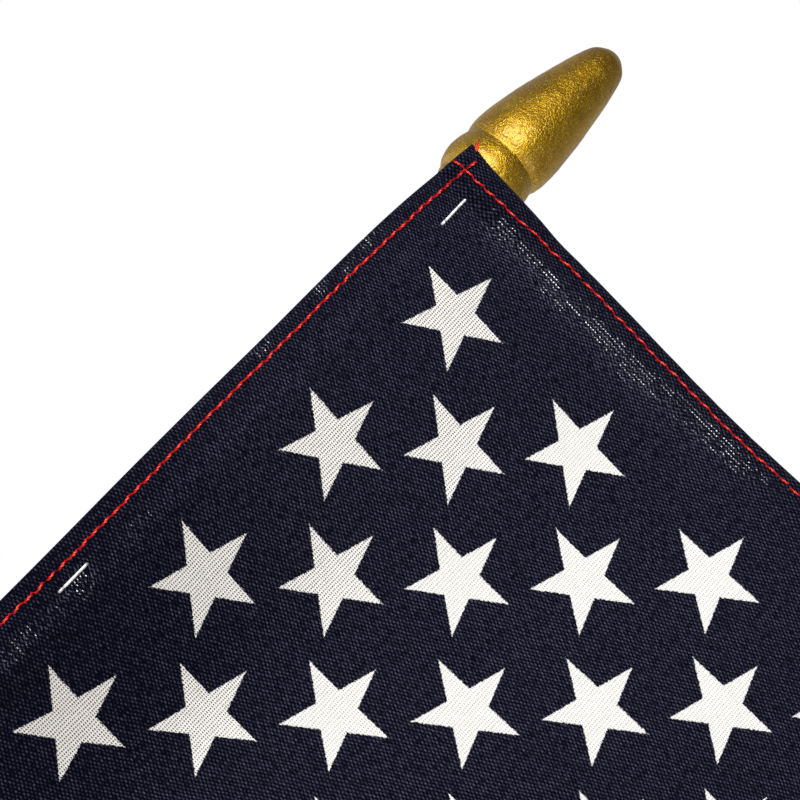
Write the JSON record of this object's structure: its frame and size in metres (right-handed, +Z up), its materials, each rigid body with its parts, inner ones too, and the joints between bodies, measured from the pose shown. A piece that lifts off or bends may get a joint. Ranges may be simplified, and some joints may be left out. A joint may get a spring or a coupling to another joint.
{
  "type": "desk flag stand",
  "caption": "Small printed cotton flag stapled to a wooden stick with a gold-painted spear tip, standing in a weighted turned wooden desk base with a brass socket.",
  "frame": {"origin": "centre of the base's underside, where it rests on the desk", "axes": "+Z up along the stick's axis; +X the way the flag flies; the printed face looks along -Y"},
  "size_m": [0.5097, 0.12, 0.6518],
  "materials": {
    "printed_cotton": "printed plain-weave cotton: navy canton, white stars, red and white stripes",
    "red_thread": "red sewing thread",
    "staple_wire": "bright wire",
    "stick_wood": "natural light dowel, lightly sanded",
    "gold_paint": "turned wood under metallic gold paint",
    "base_wood": "dark stained and lacquered turned wood",
    "ballast_steel": "zinc-plated steel disc",
    "screw_steel": "zinc-plated wood screw",
    "felt": "green felt",
    "socket_brass": "polished brass",
    "bush_nylon": "black nylon"
  },
  "bodies": {
    "base": {"base": "base_wood", "ballast_disc": "ballast_steel", "ballast_screws": "screw_steel", "felt_pad": "felt", "socket_flange": "socket_brass", "flange_screws": "socket_brass"},
    "bush": {"socket_bush": "bush_nylon"},
    "staff": {"stick": "stick_wood", "spear_tip": "gold_paint", "staples": "staple_wire", "flag_hoist_edge": "printed_cotton", "hoist_needle_thread": "red_thread", "hoist_bobbin_thread": "red_thread", "corner_stitches": "red_thread"},
    "flag": {"flag_field": "printed_cotton", "top_needle_thread": "red_thread", "top_bobbin_thread": "red_thread", "bottom_needle_thread": "red_thread", "bottom_bobbin_thread": "red_thread", "fly_needle_thread": "red_thread", "fly_bobbin_thread": "red_thread"}
  },
  "joints": [
    {"name": "staff_turn", "type": "hinge", "parent": "base", "child": "bush", "pos_m": [0, 0, 0.0455], "axis": [0, 0, 1], "continuous": true},
    {"name": "staff_lift", "type": "slide", "parent": "bush", "child": "staff", "axis": [0, 0, 1], "range_m": [0, 0.045]},
    {"name": "flag_swing", "type": "hinge", "parent": "staff", "child": "flag", "pos_m": [0.01, -0.00566, 0.4641], "axis": [0, 0, 1], "range_deg": [-120, 90]}
  ]
}
